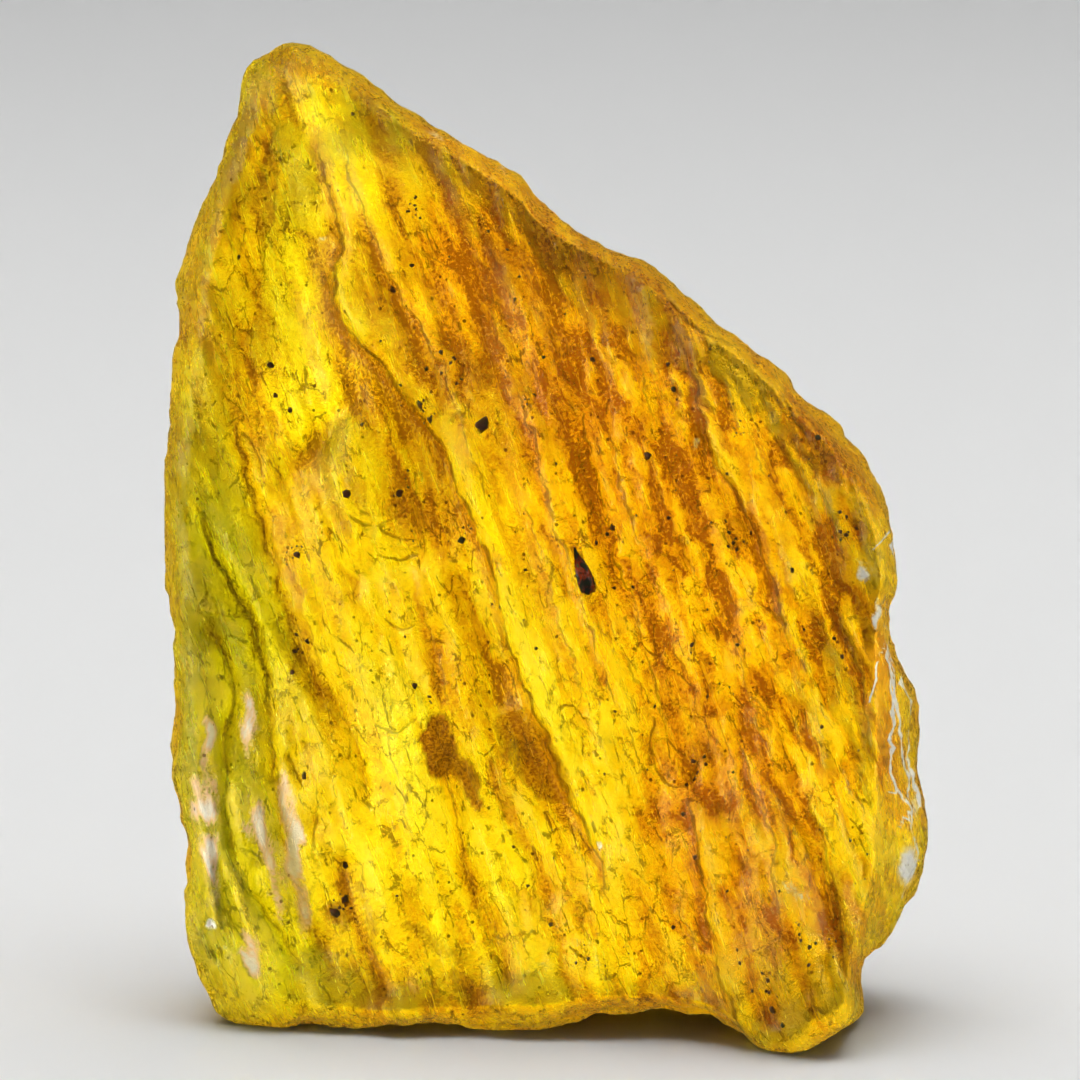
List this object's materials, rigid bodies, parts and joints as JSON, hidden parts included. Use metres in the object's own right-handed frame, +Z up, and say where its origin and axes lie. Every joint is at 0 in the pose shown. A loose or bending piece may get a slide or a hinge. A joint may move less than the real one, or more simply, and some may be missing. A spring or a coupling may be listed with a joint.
{
  "type": "raw amber piece",
  "caption": "Rough, see-through piece of golden amber with a folded face and fine grains, standing upright on its flat broken base.",
  "frame": {"origin": "on the ground, under the middle of the piece's bounding box", "axes": "+Z up along the standing piece, -Y out of its folded face, +X to the right when the face is looked at"},
  "size_m": [0.0386, 0.023, 0.0483],
  "materials": {
    "amber": "see-through yellow to orange resin, half gloss on its folds and matt in its crust"
  },
  "bodies": {
    "root": {"amber": "amber"}
  },
  "joints": []
}
